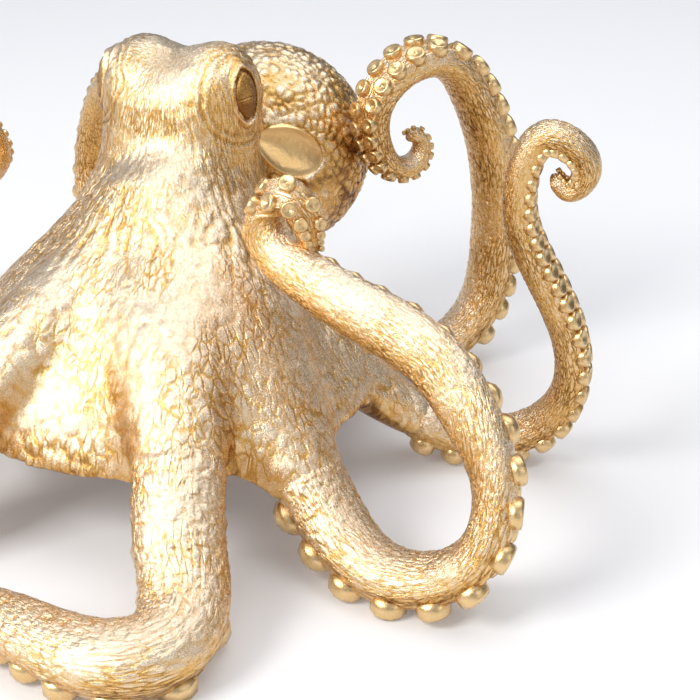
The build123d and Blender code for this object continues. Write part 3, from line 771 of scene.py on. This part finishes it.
def facing_rings(points, rows, columns, looks):
    """Quads of a grid of rings that close round its columns, turned to face where it looks."""
    first = np.arange(rows * columns).reshape(rows, columns)
    following = np.roll(first, -1, axis=1)
    quads = np.stack([first[:-1], following[:-1], following[1:], first[1:]], axis=-1).reshape(-1, 4)
    return quads if (vertex_normals(points, quads) @ looks).mean() > 0 else quads[:, ::-1]


def bell(share, middle, width):
    """One at the middle, falling off as e to the minus square of the way from it, in widths."""
    return np.exp(-(((share - middle) / width) ** 2))


rows, columns = 90, 128
for side in (-1, 1):
    bearing = eye_bearing * side
    outwards = np.array([np.sin(bearing), -np.cos(bearing), 0])
    looks = np.cos(eye_rise) * outwards + np.sin(eye_rise) * upwards
    level = np.array([np.cos(bearing), np.sin(bearing), 0])
    upright = np.cross(looks, level) * -1
    upright = upright * np.sign(upright[2])
    seat = np.array([eye_across * side, eye_setback, eye_height]) + web_middle
    around = np.linspace(0, 2 * np.pi, columns, endpoint=False)[None]
    share = np.linspace(0, 1, rows)[:, None]
    pointed = 1 + 0.1 * np.abs(np.cos(around)) ** 5
    ring, groove = bell(share, 0.6, 0.07), bell(share, 0.5, 0.035)
    creases = bell(share, 0.76, 0.035) + 0.7 * bell(share, 0.88, 0.03)
    ball = np.sqrt(np.clip(1 - (share / 0.52) ** 2, 0, 1))
    u, v = eye_tall * share * pointed * np.cos(around), eye_wide * share * np.sin(around)
    slit = bell(u + 0.02 * v * v, -0.6, 0.35) * (share < 0.47)
    height = 0.5 + 3.0 * ball + 2.0 * ring - 1.3 * groove + 0.7 * creases - 0.5 * slit
    height = height - 5.5 * share**3 - 9 * np.clip(share - 0.7, 0, 1) - (v / eye_wide) ** 2 * 3.5
    height = height - 1.3 * np.clip(u - eye_tall / 2, 0, None) ** 2 / 22
    points = seat + u[..., None] * upright + v[..., None] * level + height[..., None] * looks
    points = points.reshape(-1, 3)
    # The relief sets the paint's tone: painted shade in the groove round the ball and in the slit, a
    # little darker on the ball, and painted light on the ring and the creases.
    relief = 0.3 + 0.7 * ring + 0.6 * creases - 0.25 * ball - 0.5 * groove - 0.4 * slit
    relief = np.clip(relief, 0, 1).ravel()
    grit = 0.22 * wavy(points / 0.8, 3.3) + 0.25 * wavy(points / 1.9, 5.1)
    points = points + looks * grit[:, None]
    quads = facing_rings(points, rows, columns, looks)
    name = "eye_left" if side > 0 else "eye_right"
    eye = add_piece(name, points, quads, skin_gold, relief, points / 40)
    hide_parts("head_and_web")

# Funnel dish: a smooth hollow with a soft rim on the creature's left, cast with the head where
# the mantle opens. It runs to a point at its front end and is bent round the mantle. Its height
# rises with a power of the share of the way to the rim, and past the rim it dips into the skin.
satin_gold = gold_paint(
    "gold paint on the satin dish",
    tones=((0.72, 0.45, 0.17), (0.8, 0.54, 0.24), (0.88, 0.66, 0.36)),
    roughness=0.32,
    grain=0.12,
)
rows, columns, dish_floor, dish_depth = 80, 128, -6.6, 4.0
around = np.linspace(0, 2 * np.pi, columns, endpoint=False)[None]
share = np.linspace(0, 1.3, rows)[:, None]
pointed = 1 + 0.25 * np.clip(np.cos(around), 0, 1) ** 4
u, v = dish_long * share * pointed * np.cos(around), dish_short * share * np.sin(around)
height = dish_floor + dish_depth * np.clip(share, 0, 1) ** 2.2 + 0.25 * bell(share, 1, 0.12)
height = height - 16 * np.clip(share - 1, 0, 1) ** 1.1 - (u**2 + v**2) / (2 * mantle_radius)
points = sum(part[..., None] * axis for part, axis in zip((u, v, height), dish_axes)) + dish_middle
points = points.reshape(-1, 3)
points = points + 0.05 * wavy(points / 1.5, 8.8)[:, None] * dish_looks
quads = facing_rings(points, rows, columns, dish_looks)
dish = add_piece("funnel_dish", points, quads, satin_gold)
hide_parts("head_and_web")

# Mantle: a hollow casting, the round sac behind the head. It is pinned and glued to the collar of
# the head, and its skin is all coarse pebbles.
mantle_half_length = 60.0


def closed_grid(rows, columns):
    """Quads of a grid that closes round its columns, with both end rows drawn to one point."""
    first = np.arange(rows * columns).reshape(rows, columns)
    following = np.roll(first, -1, axis=1)
    return np.stack([first[:-1], first[1:], following[1:], following[:-1]], axis=-1).reshape(-1, 4)


def ball_grid(rows, columns):
    """Unit vectors in rows from pole to pole of the mantle.

    Each is its axis times the cosine of the tilt, plus a circle across it times the sine.
    """
    tilt = np.linspace(0, np.pi, rows)[:, None, None]
    around = np.linspace(0, 2 * np.pi, columns, endpoint=False)[None, :, None]
    side = np.array([1.0, 0, 0])
    circle = np.cos(around) * side + np.sin(around) * np.cross(side, mantle_axis)
    return (np.cos(tilt) * mantle_axis + np.sin(tilt) * circle).reshape(-1, 3)


rows, columns = ((200, 380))
looks = ball_grid(rows, columns)
along = (looks @ mantle_axis)[:, None]
points = mantle_middle + web_middle + mantle_radius * looks
points = points + (mantle_half_length - mantle_radius) * along * mantle_axis
sway = swaying(points, 8, (1, 2, 3))
pebble = raised_cells((points + 1.2 * sway) / mantle_pebble, 0.55, 4.4)
pebble = pebble * (2 - pebble)
bulge = 1.3 * (pebble - 0.75) + 0.3 * wavy(points / 2.4, 7)
points = pressed_under_dish(points + looks * bulge[:, None])
quads = closed_grid(rows, columns)[:, ::-1]
# The pebbles set the paint's tone, scaled down so that the whole mantle is darker: painted shade over
# the mantle and in the gaps between the pebbles.
mantle = add_piece("mantle_skin", points, quads, skin_gold, 0.85 * pebble, points / 30)
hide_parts("mantle")

# Arms: eight solid castings, each glued and pinned to a root of the web. The back is scaly, the
# face that carries the suckers is flat and smooth, with a thin ridge along each edge.
start_share = 0.8
sunk_at_joint = 3.5


def arm_skin(name, rows, columns):
    """Points, quads, relief and flow of an arm: its section carried along its line.

    The section is half an oval over the back. Under it, the face is flat with a rounded edge,
    and a ridge stands at eight tenths of its half breadth. The scales are cells scattered along
    and around the arm, longer than wide, each tilted so that its far edge stands over the next.
    It starts inside its root, a little slimmer, and comes out at the joint.
    """
    line = arm_line(name, rows)
    joint = joint_row(line[0])
    start = int(joint * start_share)
    centre, tangents, across, back, breadth = (part[start:] for part in line)
    rows = len(centre)
    step = np.linalg.norm(np.diff(centre, axis=0), axis=1).mean()
    taper = np.sqrt(np.clip((rows - 1 - np.arange(rows)) * step / (breadth[-1] / 2), 0, 1))
    sunk = sunk_at_joint * np.clip(0.25 + (joint - start - np.arange(rows)) * step / 10, 0, 1)
    half = (breadth / 2 * taper - sunk)[:, None]
    angle = np.linspace(0, 2 * np.pi, columns, endpoint=False)[None]
    side, rise = np.cos(angle), np.sin(angle)
    under = 0.86 * (1 - np.abs(side) ** 7) + 0.12 * bell(np.abs(side), 0.78, 0.1)
    height = np.where(rise >= 0, rise, -under * np.clip(-rise * 8, 0, 1)) * arm_flatness
    around = angle / (2 * np.pi) * np.ones((rows, 1))
    slim = np.clip(breadth / 36, 0.35, 1.3)
    along = np.cumsum(step / slim)[:, None] * np.ones((1, columns))
    scales_round, scale_length, scale_edge = 30, 6.5, 0.4
    spot = np.stack([around * scales_round, along / scale_length], axis=-1).reshape(-1, 2)
    circle = np.stack([side + 0 * along, rise + 0 * along, 0 * along], axis=-1)
    onwards = along[..., None] * upwards
    place = (6 * circle + onwards / 3.2).reshape(-1, 3)
    flow = (6.4 * circle + onwards / 11).reshape(-1, 3)
    spot = spot + 0.75 * swaying(place, 2.2, (1.9, 6.1))
    base = np.floor(spot)
    nearest = np.full(len(spot), 9.0)
    second = np.full(len(spot), 9.0)
    ahead = np.zeros(len(spot))
    for corner in np.ndindex(3, 3):
        cell = base + np.array(corner) - 1
        wrapped = np.stack([cell[:, 0] % scales_round, cell[:, 1], 0 * cell[:, 0]], axis=1)
        gap = spot - cell - 0.1 - 0.8 * scattered(wrapped, 2.9)[:, :2]
        distance = np.linalg.norm(gap, axis=1)
        second = np.minimum(second, np.maximum(nearest, distance))
        ahead = np.where(distance < nearest, gap[:, 1], ahead)
        nearest = np.minimum(nearest, distance)
    scale = np.clip((second - nearest) / scale_edge, 0, 1)
    scale = scale * (2 - scale)
    bare = np.where(rise > 0, 1, np.clip((np.abs(side) - 0.72) / 0.16, 0, 1)) * np.ones((rows, 1))
    bare = (bare * bare * (3 - 2 * bare)).ravel()
    size = slim.repeat(columns)
    lift = bare * size * (0.3 * (scale - 0.75) + 0.3 * ahead)
    lift = lift + 0.3 * size * wavy(place * 1.3, 4.2) + 0.16 * size * wavy(place * 3.1, 9.4)
    points = (
        centre[:, None]
        + across[:, None] * (half * side)[..., None]
        + back[:, None] * (half * height)[..., None]
    )
    quads = closed_grid(rows, columns)[:, ::-1]
    points = points.reshape(-1, 3)
    points = points + vertex_normals(points, quads) * lift[:, None]
    # The relief sets the paint's tone: darker at the scales' edges as painted shade, and lighter on
    # their tops as painted light; the smooth face is even.
    return points, quads, 0.86 + 0.5 * bare * (scale - 0.75), flow


arm_grid = ((700, 132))
for name in arm_bearings:
    points, quads, relief, flow = arm_skin(name, *arm_grid)
    piece = add_piece(name + "_skin", points, quads, skin_gold, relief, flow)
    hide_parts(name)

# Suckers: two staggered rows on the flat face of each arm, cast in one with it. Each is a short
# drum with a rounded lip round a dimple. Its profile is in shares of its radius and its height.
smooth_gold = gold_paint(
    "gold paint on smooth casting",
    tones=((0.6, 0.36, 0.13), (0.8, 0.56, 0.27), (0.9, 0.73, 0.48)),
    roughness=0.3,
    grain=0.3,
)
sucker_profile_shares = np.array(
    [
        (0, -0.1), (0.97, -0.1), (1.0, 0.4), (1.0, 0.74), (0.9, 0.95), (0.72, 1.0),
        (0.55, 0.87), (0.42, 0.9), (0.2, 0.68), (0, 0.6),
    ]
)

# Breadth of the suckers and the way from one to the next, in shares of the arm's breadth
sucker_shares = {"arm_left_2": (0.58, 0.3), "arm_left_3": (0.5, 0.25), "arm_left_4": (0.47, 0.225)}
usual_share, usual_spacing = 0.52, 0.28


def arm_suckers(name, segments):
    """Points and quads of an arm's suckers: one profile turned about the axis of each seat.

    Both shares get a little less near the arm's tip, and up to the felt pads the spacing is the
    usual one. The suckers over the pads reach down to them, the others stand lower.
    """
    rows, smallest, tilt = 1600, 2.2, np.radians(10)
    centre, tangents, across, back, breadth = arm_line(name, rows)
    sucker_share, spacing = sucker_shares.get(name, (usual_share, usual_spacing))
    thinning = 0.6 + 0.4 * np.clip((breadth - 12) / 14, 0, 1)
    step = np.linalg.norm(np.diff(centre, axis=0), axis=1).mean()
    joint = joint_row(centre)
    station = joint + breadth[joint] * usual_spacing / step
    lowest = int(np.argmin(centre[:, 2]))
    pad_end = lowest + breadth[lowest] / step
    seats = []
    while station < rows - 1:
        seat = int(station)
        if breadth[seat] * sucker_share * thinning[seat] <= smallest:
            break
        seats.append(seat)
        gap = spacing * thinning[seat] if station > pad_end else usual_spacing
        station += breadth[seat] * gap / step
    seats = np.array(seats)
    side = np.where(np.arange(len(seats)) % 2, 1.0, -1.0)[:, None]
    wide = breadth[seats][:, None]
    looks = across[seats] * side * np.sin(tilt) - back[seats] * np.cos(tilt)
    forward = tangents[seats]
    sideways = np.cross(looks, forward)
    thick = wide * arm_flatness / 2
    foot = centre[seats] + across[seats] * side * wide * 0.25 - back[seats] * thick * 0.62
    aloft = np.clip((centre[seats, 2:] - centre[:, 2].min() - 5) / 25, 0, 1)
    stand = (1 - aloft) * np.minimum(sucker_height - ground_flat, wide * 0.15) + aloft * wide * 0.09
    tall = thick * 0.38 + stand
    radius = wide * sucker_share * thinning[seats][:, None] / 2
    around = np.linspace(0, 2 * np.pi, segments, endpoint=False)[:, None]
    circle = np.cos(around) * forward[:, None] + np.sin(around) * sideways[:, None]
    out = sucker_profile_shares[:, :1, None] * radius[:, None, None]
    rise = sucker_profile_shares[:, 1:, None] * tall[:, None, None]
    points = foot[:, None, None] + out * circle[:, None] + rise * looks[:, None, None]
    points = points.reshape(-1, 3)
    points[:, 2] = np.maximum(points[:, 2], felt_thickness)
    ring_count = len(sucker_profile_shares)
    firsts = np.arange(len(seats))[:, None, None] * ring_count * segments
    return points, (closed_grid(ring_count, segments) + firsts).reshape(-1, 4)


for name in arm_bearings:
    points, quads = arm_suckers(name, 12)
    piece = add_piece(name + "_suckers", points, quads[:, ::-1], smooth_gold)
    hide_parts(name)

# Dowels and felt: steel pins inside the joints, and dark felt discs stuck under the lowest
# suckers. Both are the solids themselves, drawn steel and pressed fibres.
steel = bpy.data.materials.new("drawn steel")
steel.use_nodes = True
tree = steel.node_tree
shader = tree.nodes["Principled BSDF"]
shader.inputs["Metallic"].default_value = 1.0
shader.inputs["Base Color"].default_value = (0.6, 0.6, 0.62, 1)
place = add_node(tree, "TexCoord").outputs["Object"]
drawn = add_node(tree, "TexNoise", {"Vector": place, "Scale": 900}).outputs["Fac"]
sheen = add_node(tree, "MapRange", {"Value": drawn, "To Min": 0.25, "To Max": 0.45})
tree.links.new(sheen.outputs["Result"], shader.inputs["Roughness"])

felt = bpy.data.materials.new("brown felt")
felt.use_nodes = True
tree = felt.node_tree
shader = tree.nodes["Principled BSDF"]
shader.inputs["Roughness"].default_value = 0.95
place = add_node(tree, "TexCoord").outputs["Object"]
fibres = add_node(tree, "TexNoise", {"Vector": place, "Scale": 1400, "Detail": 4}).outputs["Fac"]
browns = add_node(tree, "ValToRGB", {"Fac": fibres})
browns.color_ramp.elements[0].color = (0.09, 0.065, 0.05, 1)
browns.color_ramp.elements[1].color = (0.2, 0.155, 0.12, 1)
tree.links.new(browns.outputs["Color"], shader.inputs["Base Color"])
for node, material in (("arm_dowels", steel), ("mantle_dowels", steel), ("felt_pads", felt)):
    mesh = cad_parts[node].data
    mesh.materials.clear()
    mesh.materials.append(material)
